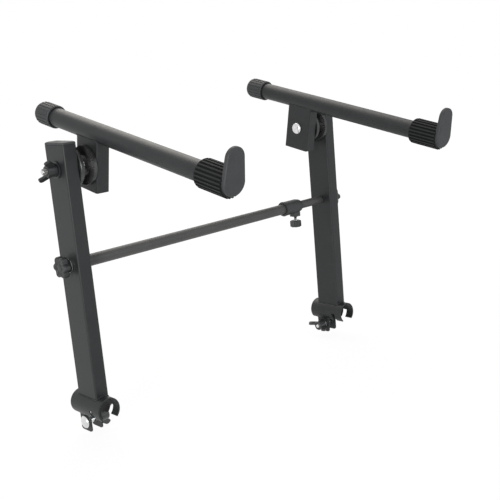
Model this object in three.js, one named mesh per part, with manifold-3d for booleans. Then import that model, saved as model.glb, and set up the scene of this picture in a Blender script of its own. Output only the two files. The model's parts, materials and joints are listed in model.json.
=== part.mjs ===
// Clamp-on second tier for a keyboard stand.
// Two upright side frames grip the rails of the lower stand, a telescoping crossbar
// sets them apart, and two tilting arms with lipped end caps carry the upper keyboard.
// Millimetres. +X runs from the left frame to the right one, -Y points to the player,
// +Z is up. The origin is on the axis of the left clamp's saddle, under the left post.

import * as THREE from 'three';
import { mergeVertices } from 'three/addons/utils/BufferGeometryUtils.js';
import Module from 'manifold-3d';

const wasm = await Module();
wasm.setup();

// ---- Clearances ----
const seatGap = 0.3; // where one piece rests on or in another
const boltPlay = 0.4; // round every screw and stud, on the radius
const slidePlay = 0.35; // between the telescoping tubes, on the radius
const throughCut = 5; // how far a cutter runs past what it cuts

// ---- Posts: upright rectangular tubes ----
const postSpacing = 493.5; // between the centre planes of the two posts
const postWidth = 20; // across, in X
const postDepth = 44; // front to back, in Y
const postWall = 1.6;
const postCorner = 2.5;
const postAbovePivot = 30.9; // from the tilt pivot up to the tube's top
const postCapRim = 1.6;
const postCapDome = 2.4;
const postPlugDepth = 12;
const postPlugWall = 1.8;

// ---- Clamps: split round saddles under the posts ----
const railDiameter = 30; // tube of the lower stand that the saddle takes
const railPlay = 0.2;
const clampWall = 2;
const clampFront = -34;
const clampRear = 33;
const clampMouth = 84; // degrees of the ring that are open, at the bottom
const slitFront = -20.5; // the slit parts the front hook from the clamping band
const slitRear = -12;
const earSpread = 8.5; // from the saddle's middle to the middle of each ear
const earFront = 0.5;
const earRear = 25;
const earReach = 37.5; // how far the ears hang below the saddle's axis
const earCorner = 4;
const clampBoltY = 12.5;
const clampBoltDrop = 24.6; // below the saddle's axis

// ---- Bolts, washers and wing nuts ----
const boltDiameter = 8;
const boltHeadDiameter = 18;
const boltHeadHeight = 4.6;
const washerThickness = 1.6;
const clampWasherDiameter = 16;
const pivotWasherDiameter = 22;
const wingSpan = 36.5;
const wingHeight = 19.5;
const wingThickness = 3.4;
const wingHubDiameter = 15.4;
const wingHubHeight = 13;
const clampBoltStickOut = 1.4; // past the wing nut's hub
const pivotBoltStickOut = 6;
const nutTurns = { // degrees from level, rear end up
  left: { clamp: -73, pivot: -47 },
  right: { clamp: 13, pivot: -68 },
};

// ---- Tilt joints ----
const pivotHeight = 321.6; // above the saddle's axis
const armPitch = 12.5; // degrees, front end down
const armInset = 45; // from the post's centre plane in to the arm
const discDiameter = 52;
const discThickness = 4.5;
const toothHeight = 1.5;
const toothCount = 24;
const toothedInside = 26; // inner diameter of the toothed ring
const springDiameter = 15; // outside of the coil
const springWire = 1.6;
const springCurls = 3.5;

// ---- Arms ----
const armDiameter = 25.4;
const armWall = 1.6;
const armRise = 43.8; // arm axis above the pivot, square to the arm
const bracketWidth = 20;
const bracketDepth = 46.5;
const bracketWall = 2;
const bracketDrop = 33.6; // below the pivot
const rearCapMouth = 84; // along the arm from the pivot
const rearCapEnd = 118.5;
const rearCapWall = 3; // from the arm's surface to the ribs' crests
const rearCapRibs = 18;
const rearRibDepth = 0.8;
const frontCapMouth = -217;
const frontCapEnd = -261;
const frontCapWall = 5.4;
const frontCapRibs = 22;
const frontRibDepth = 1.2;
const capEndWall = 3.6;
const lipThickness = 6.6;
const lipTopRadius = 13;
const lipTopCentre = 29; // above the arm's axis
const lipFootRadius = 16.1;
const lipFootCentre = 1.6;
const lipRound = 2.2;

// ---- Crossbar ----
const crossbarHeight = 197; // above the saddle's axis
const outerTubeDiameter = 16.2;
const outerTubeWall = 1.2;
const outerTubeEnd = 413; // from the left post's centre plane
const innerTubeWall = 1.2;
const innerTubeReach = 240; // its free end, from the left post's centre plane
const studDiameter = 6;
const studGrip = 14; // how deep each knob's stud sits in the crossbar
const plugLength = 22;

// ---- Collar and its thumbscrew ----
const collarStart = 391; // from the left post's centre plane
const collarLength = 38.5;
const collarDiameter = 22.6;
const collarNoseDiameter = 20;
const collarRim = 2.2;
const bossWidth = 13;
const bossDrop = 16.4; // below the crossbar's axis
const thumbscrewX = 419;
const thumbStudDiameter = 5;
const thumbKnobGap = 7.4; // from the boss down to the knob
const thumbKnobDiameter = 17.5;
const thumbKnobHeight = 9.8;
const thumbKnobLobes = 8;

// ---- Star knobs ----
const knobDiameter = 30;
const knobThickness = 9.5;
const knobLobes = 6;
const knobLobeDepth = 3.6;
const knobNeckDiameter = 17;
const knobNeckLength = 4;
const knobWasherDiameter = 18.4;
const knobStudSocket = 9; // how deep the stud sits in the knob

// ---- Worked out from the sizes above ----
const radians = THREE.MathUtils.degToRad;
const saddleRadius = railDiameter / 2 + railPlay;
const clampRadius = saddleRadius + clampWall;
const boltRadius = boltDiameter / 2;
const boltHole = boltRadius + boltPlay;
const studHole = studDiameter / 2 + boltPlay;
const outerTubeBore = outerTubeDiameter / 2 - outerTubeWall;
const innerTubeRadius = outerTubeBore - slidePlay;
const innerTubeBore = innerTubeRadius - innerTubeWall;
const postFace = postWidth / 2;
const postTop = pivotHeight + postAbovePivot; // above the saddle's axis
const rearCapDiameter = armDiameter + 2 * rearCapWall;
const frontCapDiameter = armDiameter + 2 * frontCapWall;
const bracketFace = bracketWidth / 2 - armInset; // its outer side, seen from the post
const earOutside = earSpread + clampWall / 2;

// ---- Finishes ----
const finish = (name, color, roughness, metalness) => {
  const material = new THREE.MeshStandardMaterial({ color, roughness, metalness });
  material.name = name;
  return material;
};
const coatedSteel = finish('coated_steel', 0x232426, 0.5, 0.1);
const mouldedPlastic = finish('moulded_plastic', 0x1c1d1f, 0.55, 0);
const capRubber = finish('cap_rubber', 0x2a2b2d, 0.75, 0);
const blackHardware = finish('black_hardware', 0x2b2b2d, 0.4, 0.6);
const brightSteel = finish('bright_steel', 0xd4d5d8, 0.22, 0.95);

// ---- Making and joining solids ----
function signedVolume(position, corners) {
  const [a, b, c] = [new THREE.Vector3(), new THREE.Vector3(), new THREE.Vector3()];
  let total = 0;
  for (let i = 0; i < corners.length; i += 3) {
    a.fromArray(position, corners[i] * 3);
    b.fromArray(position, corners[i + 1] * 3);
    c.fromArray(position, corners[i + 2] * 3);
    total += a.dot(b.cross(c));
  }
  return total;
}

// A solid with its faces pointing out, from any closed geometry.
function solidOf(geometry) {
  const bare = new THREE.BufferGeometry();
  bare.setAttribute('position', geometry.getAttribute('position'));
  bare.setIndex(geometry.index);
  const merged = mergeVertices(bare, 1e-4);
  const position = merged.getAttribute('position').array;
  const index = merged.index.array;
  const corners = [];
  for (let i = 0; i < index.length; i += 3) {
    const [a, b, c] = index.subarray(i, i + 3);
    if (a !== b && b !== c && c !== a) corners.push(a, b, c);
  }
  if (signedVolume(position, corners) < 0) corners.reverse();
  return new wasm.Manifold(new wasm.Mesh({
    numProp: 3,
    vertProperties: new Float32Array(position),
    triVerts: new Uint32Array(corners),
  }));
}

function geometryOf(solid) {
  const mesh = solid.getMesh();
  const geometry = new THREE.BufferGeometry();
  geometry.setAttribute('position', new THREE.BufferAttribute(mesh.vertProperties, 3));
  geometry.setIndex(new THREE.BufferAttribute(mesh.triVerts, 1));
  geometry.computeVertexNormals();
  return geometry;
}

const addAll = (first, ...others) => others.reduce((whole, next) => whole.add(next), first);
const cutAll = (first, ...others) => others.reduce((whole, next) => whole.subtract(next), first);

// Turns a geometry that was made along Y or Z to lie along another axis.
const turnFromY = {
  x: (geometry) => geometry.rotateZ(-Math.PI / 2),
  y: (geometry) => geometry,
  z: (geometry) => geometry.rotateX(Math.PI / 2),
};

function rod(axis, radius, start, end, centre = [0, 0, 0], facets = 16) {
  const geometry = new THREE.CylinderGeometry(radius, radius, end - start, facets);
  geometry.translate(0, (start + end) / 2, 0);
  return solidOf(turnFromY[axis](geometry).translate(...centre));
}

function block(from, to) {
  const size = to.map((value, i) => value - from[i]);
  const middle = to.map((value, i) => (value + from[i]) / 2);
  return solidOf(new THREE.BoxGeometry(...size).translate(...middle));
}

// A revolved solid; the profile is a list of [radius, distance along the axis].
function turned(axis, profile, centre = [0, 0, 0], facets = 20) {
  const points = profile.map(([radius, along]) => new THREE.Vector2(radius, along));
  if (profile[0][0] > 0) points.push(points[0].clone());
  const geometry = turnFromY[axis](new THREE.LatheGeometry(points, facets));
  return solidOf(geometry.translate(...centre));
}

// A closed body through rings of equally many points, with flat ends.
function skin(rings) {
  const count = rings[0].length;
  const points = rings.flat();
  const faces = [];
  for (let ring = 0; ring + 1 < rings.length; ring += 1) {
    for (let i = 0; i < count; i += 1) {
      const a = ring * count + i;
      const b = ring * count + (i + 1) % count;
      faces.push(a, b, a + count, b, b + count, a + count);
    }
  }
  [rings[0], rings.at(-1)].forEach((ring, atEnd) => {
    const start = atEnd ? (rings.length - 1) * count : 0;
    const middle = points.length;
    points.push(ring.reduce((sum, p) => sum.add(p), new THREE.Vector3()).divideScalar(count));
    for (let i = 0; i < count; i += 1) {
      const [a, b] = [start + i, start + (i + 1) % count];
      faces.push(...(atEnd ? [a, b, middle] : [b, a, middle]));
    }
  });
  const geometry = new THREE.BufferGeometry().setFromPoints(points);
  geometry.setIndex(faces);
  return solidOf(geometry);
}

// An outline in the XY plane, pushed up from z = from to z = to.
function extruded(outline, from, to, facets = 3) {
  const geometry = new THREE.ExtrudeGeometry(outline, {
    depth: to - from,
    bevelEnabled: false,
    curveSegments: facets,
  });
  return geometry.translate(0, 0, from);
}

function roundedRectangle(width, depth, corner, kind = THREE.Shape) {
  const [x, y] = [width / 2 - corner, depth / 2 - corner];
  const outline = new kind();
  outline.absarc(x, y, corner, 0, Math.PI / 2);
  outline.absarc(-x, y, corner, Math.PI / 2, Math.PI);
  outline.absarc(-x, -y, corner, Math.PI, Math.PI * 1.5);
  outline.absarc(x, -y, corner, Math.PI * 1.5, Math.PI * 2);
  outline.closePath();
  return outline;
}

function rectangularTube(width, depth, wall, corner, from, to) {
  const outline = roundedRectangle(width, depth, corner);
  const innerCorner = Math.max(corner - wall, 0.4);
  outline.holes.push(roundedRectangle(width - 2 * wall, depth - 2 * wall, innerCorner, THREE.Path));
  return solidOf(extruded(outline, from, to));
}

// ---- Post, cap and clamp ----
function makePost() {
  const tube = rectangularTube(postWidth, postDepth, postWall, postCorner, 0, postTop);
  const clampSeat = rod('y', clampRadius + seatGap, -postDepth, postDepth, [0, 0, 0], 32);
  const pivotHole = rod('x', boltHole, -postWidth, postWidth, [0, 0, pivotHeight]);
  const crossbarHole = rod('x', studHole, -postWidth, postWidth, [0, 0, crossbarHeight]);
  return cutAll(tube, clampSeat, pivotHole, crossbarHole);
}

function makePostCap() {
  const height = postCapRim + postCapDome;
  const levels = [[0, 0], [postCapRim, 0], [height - 0.9, 1.4], [height, 6]];
  const rings = levels.map(([rise, inset]) => {
    const corner = Math.min(postCorner + inset * 0.4, postWidth / 2 - inset - 0.1);
    const outline = roundedRectangle(postWidth - 2 * inset, postDepth - 2 * inset, corner);
    return outline.getPoints(3).slice(0, -1).map(({ x, y }) => new THREE.Vector3(x, y, rise));
  });
  const insideWidth = postWidth - 2 * (postWall + seatGap);
  const insideDepth = postDepth - 2 * (postWall + seatGap);
  const plugCorner = Math.max(postCorner - postWall, 0.4);
  const plug = rectangularTube(
    insideWidth, insideDepth, postPlugWall, plugCorner, -postPlugDepth, postCapRim / 2,
  );
  return skin(rings).add(plug);
}

// The ring of the saddle, open at the bottom.
function saddleRing(from, to) {
  const start = radians(clampMouth / 2 - 90);
  const end = radians(270 - clampMouth / 2);
  const outline = new THREE.Shape();
  outline.absarc(0, 0, clampRadius, start, end);
  outline.absarc(0, 0, saddleRadius, end, start, true);
  outline.closePath();
  return solidOf(extruded(outline, -to, -from, 20).rotateX(Math.PI / 2));
}

// One ear: the ring's wall runs on past the mouth's edge and bends straight down.
function clampEar() {
  const inside = earSpread - clampWall / 2;
  const ringEnd = radians(clampMouth / 2 - 90);
  const bendAt = (x, radius) => -Math.acos(x / radius);
  const middle = (saddleRadius + clampRadius) / 2;
  const outline = new THREE.Shape();
  outline.moveTo(inside, -earReach);
  outline.lineTo(earOutside, -earReach);
  outline.absarc(0, 0, clampRadius, bendAt(earOutside, clampRadius), ringEnd);
  outline.lineTo(middle * Math.cos(ringEnd + 0.15), middle * Math.sin(ringEnd + 0.15));
  outline.absarc(0, 0, saddleRadius, ringEnd, bendAt(inside, saddleRadius), true);
  outline.closePath();
  const ear = solidOf(extruded(outline, -earRear, -earFront).rotateX(Math.PI / 2));
  const side = new THREE.Shape();
  side.moveTo(earFront, 0);
  side.lineTo(earFront, earCorner - earReach);
  side.absarc(earFront + earCorner, earCorner - earReach, earCorner, Math.PI, Math.PI * 1.5);
  side.absarc(earRear - earCorner, earCorner - earReach, earCorner, Math.PI * 1.5, Math.PI * 2);
  side.lineTo(earRear, 0);
  side.closePath();
  const trim = extruded(side, 0, earOutside + clampWall * 4, 4);
  return ear.intersect(solidOf(trim.rotateX(Math.PI / 2).rotateZ(Math.PI / 2)));
}

function makeClampTube() {
  const wide = clampRadius + throughCut;
  const slit = block([-wide, slitFront, -wide], [wide, slitRear, 0]);
  const ear = clampEar();
  const otherEar = solidOf(geometryOf(ear).scale(-1, 1, 1));
  const boltHoles = rod('x', boltHole, -wide, wide, [0, clampBoltY, -clampBoltDrop]);
  return addAll(saddleRing(clampFront, clampRear).subtract(slit), ear, otherEar).subtract(boltHoles);
}

// ---- Bolts, washers, nuts ----
// A carriage bolt along X: a domed head at x = seat, and a shank that runs to x = tip.
function makeBolt(seat, tip) {
  const out = Math.sign(seat - tip);
  const head = boltHeadDiameter / 2;
  const rim = 0.8;
  const chamfer = 0.8;
  const profile = [
    [0, seat + out * boltHeadHeight],
    [head * 0.42, seat + out * boltHeadHeight * 0.92],
    [head * 0.76, seat + out * boltHeadHeight * 0.66],
    [head, seat + out * rim],
    [head, seat],
    [boltRadius, seat],
    [boltRadius, tip + out * chamfer],
    [boltRadius - chamfer, tip],
    [0, tip],
  ];
  return turned('x', profile, [0, 0, 0], 16);
}

function makeWasher(diameter, hole, from) {
  const to = from + washerThickness;
  const profile = [[hole, from], [diameter / 2, from], [diameter / 2, to], [hole, to]];
  return turned('x', profile);
}

// A wing nut seated at x = 0 with its wings rising along +X.
function makeWingNut(turn) {
  const hub = wingHubDiameter / 2;
  const half = wingSpan / 2;
  const profile = [
    [boltHole, 0], [hub, 0], [hub, 1.5], [hub - 1, wingHubHeight], [boltHole, wingHubHeight],
  ];
  const edge = new THREE.SplineCurve([
    [hub * 0.6, 1.4], [hub + 1.5, 2.4], [half - 3.6, 8], [half, 14], [half - 1.4, wingHeight - 1.2],
    [half - 5.4, wingHeight], [hub + 0.6, wingHubHeight + 0.6], [hub * 0.6, wingHubHeight - 1.4],
  ].map(([x, y]) => new THREE.Vector2(x, y))).getPoints(11);
  const mirrored = edge.map(({ x, y }) => new THREE.Vector2(-x, y)).reverse();
  const wings = new THREE.ExtrudeGeometry(new THREE.Shape([...edge, ...mirrored]), {
    depth: wingThickness - 1,
    bevelThickness: 0.5,
    bevelSize: 0.5,
    bevelOffset: -0.5,
    bevelSegments: 1,
  });
  wings.translate(0, 0, 0.5 - wingThickness / 2);
  const blades = solidOf(wings.rotateZ(-Math.PI / 2));
  const bore = rod('x', boltHole, -throughCut, wingHeight + throughCut);
  const nut = cutAll(turned('x', profile, [0, 0, 0], 16).add(blades), bore);
  return solidOf(geometryOf(nut).rotateX(radians(turn)));
}

// ---- Tilt joint ----
// A disc seated at x = 0 with a ring of radial teeth on its +X face.
function makeToothedDisc() {
  const outer = discDiameter / 2;
  const inner = toothedInside / 2;
  const profile = [
    [boltHole, 0], [outer, 0], [outer, discThickness], [inner, discThickness],
    [inner, discThickness], [boltHole, discThickness], [boltHole, 0],
  ];
  const geometry = new THREE.LatheGeometry(
    profile.map(([radius, along]) => new THREE.Vector2(radius, along)), toothCount * 2,
  );
  const position = geometry.getAttribute('position');
  for (let i = 0; i < position.count; i += 1) {
    const ring = i % profile.length;
    const crest = Math.floor(i / profile.length) % 2 === 1;
    const height = { 2: toothHeight, 3: toothHeight * inner / outer }[ring] ?? 0;
    if (crest) position.setY(i, position.getY(i) + height);
  }
  return solidOf(geometry.rotateZ(-Math.PI / 2));
}

// A compression spring along X as one unbroken wire, from x = 0 to x = length.
function makeSpring(length) {
  const sides = 5;
  const stepsPerCurl = 8;
  const wire = springWire / 2;
  const radius = springDiameter / 2 - wire;
  const steps = springCurls * stepsPerCurl;
  const rise = length - 2 * springWire;
  const path = [new THREE.Vector3(0, radius, 0)];
  for (let i = 0; i <= steps; i += 1) {
    const turn = 2 * Math.PI * i / stepsPerCurl;
    const along = springWire + rise * i / steps;
    path.push(new THREE.Vector3(along, radius * Math.cos(turn), radius * Math.sin(turn)));
  }
  path.push(path.at(-1).clone().setX(length));

  const lastIndex = path.length - 1;
  const rings = path.map((point, i) => {
    const after = path[Math.min(i + 1, lastIndex)].clone().sub(path[Math.min(i, lastIndex - 1)]);
    const before = path[Math.max(i, 1)].clone().sub(path[Math.max(i - 1, 0)]);
    const along = after.normalize().add(before.normalize()).normalize();
    const outward = new THREE.Vector3(0, point.y, point.z).normalize();
    const across = new THREE.Vector3().crossVectors(along, outward).normalize();
    return Array.from({ length: sides }, (_, k) => {
      const turn = 2 * Math.PI * k / sides;
      return point.clone()
        .addScaledVector(outward, wire * Math.cos(turn))
        .addScaledVector(across, wire * Math.sin(turn));
    });
  });

  let leastGap = Infinity;
  rings.forEach((ring, i) => {
    rings.slice(i + stepsPerCurl / 2).forEach((other) => {
      for (const p of ring) for (const q of other) leastGap = Math.min(leastGap, p.distanceTo(q));
    });
  });
  console.log(`pivot spring: least gap to itself ${leastGap.toFixed(2)} mm`);
  return skin(rings);
}

// ---- Arm, bracket and end caps, in the arm's own frame: y along the arm ----
function makeArmTube() {
  const front = frontCapEnd + capEndWall + seatGap;
  const rear = rearCapEnd - capEndWall - seatGap;
  const outer = armDiameter / 2;
  const inner = outer - armWall;
  const profile = [[inner, front], [outer, front], [outer, rear], [inner, rear]];
  return turned('y', profile, [0, 0, armRise], 28);
}

function makeBracket() {
  const top = armRise - armDiameter / 4;
  const tube = rectangularTube(
    bracketWidth, bracketDepth, bracketWall, postCorner, -bracketDrop, top,
  );
  const armSeat = rod(
    'y', armDiameter / 2 + seatGap, -bracketDepth, bracketDepth, [0, 0, armRise], 28,
  );
  const boltHoles = rod('x', boltHole, -bracketWidth, bracketWidth);
  return cutAll(tube, armSeat, boltHoles);
}

// One ring of ribs round the Y axis, each rib with a flat crest and a flat valley.
function ribbedRing(ribs, radius, depth, y) {
  const crestShare = [0.04, 0.46, 0.56, 0.94];
  const ring = [];
  for (let i = 0; i < ribs; i += 1) {
    crestShare.forEach((share, k) => {
      const turn = 2 * Math.PI * (i + share) / ribs;
      const reach = k < 2 ? radius : radius - depth;
      ring.push(new THREE.Vector3(reach * Math.sin(turn), y, reach * Math.cos(turn)));
    });
  }
  return ring;
}

function capBore(mouth, bottom) {
  const reach = Math.sign(mouth - bottom) * throughCut;
  const [from, to] = [bottom, mouth + reach].sort((a, b) => a - b);
  return rod('y', armDiameter / 2 + seatGap, from, to, [0, 0, 0], 28);
}

function makeRearCap() {
  const radius = rearCapDiameter / 2;
  const levels = [
    [rearCapMouth, 1.1, 0], [rearCapMouth + 1.2, 0, 1], [rearCapEnd - 4.5, 0, 1],
    [rearCapEnd, 4.5, 0],
  ];
  const body = skin(levels.map(([y, inset, rib]) => (
    ribbedRing(rearCapRibs, radius - inset, rearRibDepth * rib, y)
  )));
  return body.subtract(capBore(rearCapMouth, rearCapEnd - capEndWall));
}

// The lip's outline: a small circle over a larger one, joined by straight flanks.
function lipRing(inset, y) {
  const spread = lipTopCentre - lipFootCentre;
  const flank = Math.asin((lipFootRadius - lipTopRadius) / spread);
  const arc = (radius, centre, from, to, steps) => (
    Array.from({ length: steps + 1 }, (_, i) => {
      const turn = from + (to - from) * i / steps;
      const reach = radius - inset;
      return new THREE.Vector3(reach * Math.cos(turn), y, centre + reach * Math.sin(turn));
    })
  );
  return [
    ...arc(lipTopRadius, lipTopCentre, flank, Math.PI - flank, 9),
    ...arc(lipFootRadius, lipFootCentre, Math.PI - flank, 2 * Math.PI + flank, 11),
  ];
}

function makeFrontCap() {
  const radius = frontCapDiameter / 2;
  const body = skin([
    ribbedRing(frontCapRibs, radius - 1.4, 0, frontCapMouth),
    ribbedRing(frontCapRibs, radius, frontRibDepth, frontCapMouth - 1.5),
    ribbedRing(frontCapRibs, radius, frontRibDepth, frontCapEnd - 0.8),
  ]);
  const face = frontCapEnd - lipThickness;
  const lip = skin([
    lipRing(lipRound, frontCapEnd),
    lipRing(0, frontCapEnd - lipRound),
    lipRing(0, face + lipRound),
    lipRing(lipRound * 0.3, face + lipRound * 0.3),
    lipRing(lipRound, face),
  ]);
  return body.add(lip).subtract(capBore(frontCapMouth, frontCapEnd + capEndWall));
}

// ---- Crossbar, collar and knobs ----
// Lengths along X are measured from the left post's centre plane.
function tubeAlongX(outer, inner, from, to) {
  return turned('x', [[inner, from], [outer, from], [outer, to], [inner, to]], [0, 0, 0], 24);
}

function makeCollar() {
  const outerSeat = outerTubeDiameter / 2 + seatGap;
  const innerSeat = innerTubeRadius + seatGap;
  const body = collarDiameter / 2;
  const end = collarStart + collarLength;
  const shoulder = outerTubeEnd + seatGap;
  const profile = [
    [outerSeat, collarStart], [body - 1.2, collarStart], [body + 0.5, collarStart + 1],
    [body + 0.5, collarStart + collarRim], [body, collarStart + collarRim + 0.6],
    [body, end - 8], [collarNoseDiameter / 2, end - 2], [collarNoseDiameter / 2 - 1.2, end],
    [innerSeat, end], [innerSeat, shoulder], [outerSeat, shoulder],
  ];
  const sleeve = turned('x', profile, [0, 0, 0], 24);
  const foot = roundedRectangle(bossWidth, bossWidth, 1.6);
  const boss = solidOf(extruded(foot, -bossDrop, 0).translate(thumbscrewX, 0, 0));
  const passage = rod('x', innerSeat, outerTubeEnd, end + throughCut, [0, 0, 0], 24);
  const outerPassage = rod('x', outerSeat, collarStart - throughCut, shoulder, [0, 0, 0], 24);
  const screwHole = rod(
    'z', thumbStudDiameter / 2 + boltPlay, -bossDrop - throughCut, 0, [thumbscrewX, 0, 0],
  );
  return cutAll(sleeve.add(boss), passage, outerPassage, screwHole);
}

// A lobed head along +Y from y = 0, with its edges eased at both ends.
function lobedHead(diameter, height, lobes, lobeDepth, ease) {
  const pointsPerLobe = 6;
  const count = lobes * pointsPerLobe;
  const ring = (inset, y) => Array.from({ length: count }, (_, i) => {
    const turn = 2 * Math.PI * i / count;
    const dip = lobeDepth * ((1 - Math.cos(lobes * turn)) / 2) ** 1.4;
    const reach = diameter / 2 - dip - inset;
    return new THREE.Vector3(reach * Math.cos(turn), y, reach * Math.sin(turn));
  });
  return skin([ring(ease, 0), ring(0, ease), ring(0, height - ease), ring(ease, height)]);
}

// A star knob seated at x = 0: a neck, a lobed head, and a blind hole for its stud.
function makeStarKnob() {
  const neck = rod('x', knobNeckDiameter / 2, 0, knobNeckLength + 1, [0, 0, 0], 20);
  const head = lobedHead(knobDiameter, knobThickness, knobLobes, knobLobeDepth, 1.6);
  const turnedHead = solidOf(geometryOf(head).rotateZ(-Math.PI / 2).translate(knobNeckLength, 0, 0));
  const top = knobNeckLength + knobThickness;
  const dish = turned('x', [[0, top - 1.2], [knobDiameter * 0.2, top - 1.2],
    [knobDiameter * 0.24, top + 1], [0, top + 1]]);
  const socket = rod('x', studHole, -throughCut, knobStudSocket + seatGap);
  return cutAll(neck.add(turnedHead), dish, socket);
}

function makeThumbKnob() {
  const head = lobedHead(thumbKnobDiameter, thumbKnobHeight, thumbKnobLobes, 1.3, 1);
  const upright = solidOf(geometryOf(head).rotateX(Math.PI / 2));
  const hole = thumbStudDiameter / 2 + boltPlay;
  return upright.subtract(rod('z', hole, thumbKnobHeight * 0.3, thumbKnobHeight + throughCut));
}

// ---- Assembly ----
const stand = new THREE.Group();
stand.name = 'keyboard_stand_second_tier';

function addPiece(parent, name, solid, material, position = [0, 0, 0]) {
  const mesh = new THREE.Mesh(geometryOf(solid), material);
  mesh.name = name;
  mesh.position.set(...position);
  parent.add(mesh);
  return mesh;
}

// Pieces of a side frame are made with +X pointing outward, away from the other frame.
// The left frame is the mirror image of the right one.
function addSidePiece(side, parent, name, solid, material, position = [0, 0, 0]) {
  const [outward, y, z] = position;
  const mesh = addPiece(parent, `${side.name}_${name}`, solid, material, [side.out * outward, y, z]);
  if (side.out < 0) {
    mesh.geometry.scale(-1, 1, 1);
    mesh.geometry.setIndex(new THREE.BufferAttribute(mesh.geometry.index.array.reverse(), 1));
  }
}

// Solids with their insides facing +X, for pieces that are seated from the other way.
const facingIn = (solid) => solidOf(geometryOf(solid).rotateY(Math.PI));

const springLength = Math.abs(bracketFace) - postFace - 2 * (discThickness + 2 * seatGap);
const shapes = {
  post: makePost(),
  postCap: makePostCap(),
  clampTube: makeClampTube(),
  disc: makeToothedDisc(),
  spring: makeSpring(springLength),
  armTube: makeArmTube(),
  bracket: makeBracket(),
  rearCap: makeRearCap(),
  frontCap: makeFrontCap(),
  starKnob: makeStarKnob(),
};

function addClamp(side, frame) {
  const clampBolt = [0, clampBoltY, -clampBoltDrop];
  const washerSeat = -(earOutside + seatGap);
  const nutSeat = washerSeat - washerThickness - seatGap;
  const tip = nutSeat - wingHubHeight - clampBoltStickOut;
  const washer = makeWasher(clampWasherDiameter, boltHole, washerSeat - washerThickness);
  addSidePiece(side, frame, 'clamp_tube', shapes.clampTube, coatedSteel);
  addSidePiece(side, frame, 'clamp_bolt', makeBolt(earOutside + seatGap, tip), brightSteel, clampBolt);
  addSidePiece(side, frame, 'clamp_washer', washer, brightSteel, clampBolt);
  const nut = facingIn(makeWingNut(-nutTurns[side.name].clamp));
  const nutPlace = [nutSeat, clampBoltY, -clampBoltDrop];
  addSidePiece(side, frame, 'clamp_wing_nut', nut, blackHardware, nutPlace);
}

function addPivot(side, frame, arm) {
  const pivot = [0, 0, pivotHeight];
  const discSeat = -(postFace + seatGap);
  const washerSeat = postFace + seatGap;
  const nutSeat = washerSeat + washerThickness + seatGap;
  const headSeat = -(armInset + bracketWidth / 2 + seatGap);
  const bolt = makeBolt(headSeat, nutSeat + wingHubHeight + pivotBoltStickOut);
  const nut = makeWingNut(nutTurns[side.name].pivot - armPitch);
  const washer = makeWasher(pivotWasherDiameter, boltHole, washerSeat);
  addSidePiece(side, frame, 'post_disc', facingIn(shapes.disc), mouldedPlastic, [discSeat, 0, pivotHeight]);
  addSidePiece(side, frame, 'pivot_washer', washer, blackHardware, pivot);
  addSidePiece(side, arm, 'pivot_wing_nut', nut, blackHardware, [nutSeat, 0, 0]);
  addSidePiece(side, arm, 'pivot_bolt', bolt, brightSteel);
  addSidePiece(side, arm, 'bracket_disc', shapes.disc, mouldedPlastic, [bracketFace + seatGap, 0, 0]);
  const springSeat = bracketFace + seatGap + discThickness + seatGap;
  addSidePiece(side, arm, 'pivot_spring', shapes.spring, brightSteel, [springSeat, 0, 0]);
}

function addArm(side, arm) {
  addSidePiece(side, arm, 'bracket', shapes.bracket, coatedSteel, [-armInset, 0, 0]);
  addSidePiece(side, arm, 'arm_tube', shapes.armTube, coatedSteel, [-armInset, 0, 0]);
  addSidePiece(side, arm, 'rear_cap', shapes.rearCap, capRubber, [-armInset, 0, armRise]);
  addSidePiece(side, arm, 'front_cap', shapes.frontCap, capRubber, [-armInset, 0, armRise]);
}

function addStarKnob(side, frame) {
  const washerSeat = postFace + seatGap;
  const knobSeat = washerSeat + washerThickness + seatGap;
  const washer = makeWasher(knobWasherDiameter, studHole, washerSeat);
  const stud = rod('x', studDiameter / 2, -postFace - studGrip, knobSeat + knobStudSocket);
  addSidePiece(side, frame, 'knob_washer', washer, brightSteel, [0, 0, crossbarHeight]);
  addSidePiece(side, frame, 'star_knob', shapes.starKnob, mouldedPlastic, [knobSeat, 0, crossbarHeight]);
  addSidePiece(side, frame, 'knob_stud', stud, brightSteel, [0, 0, crossbarHeight]);
}

function addSideFrame(side) {
  const frame = new THREE.Group();
  frame.position.x = side.centre;
  stand.add(frame);
  addSidePiece(side, frame, 'post', shapes.post, coatedSteel);
  addSidePiece(side, frame, 'post_cap', shapes.postCap, mouldedPlastic, [0, 0, postTop + seatGap]);
  addClamp(side, frame);
  addStarKnob(side, frame);
  const arm = new THREE.Group();
  arm.position.z = pivotHeight;
  arm.rotation.x = radians(armPitch);
  frame.add(arm);
  addPivot(side, frame, arm);
  addArm(side, arm);
}

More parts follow.
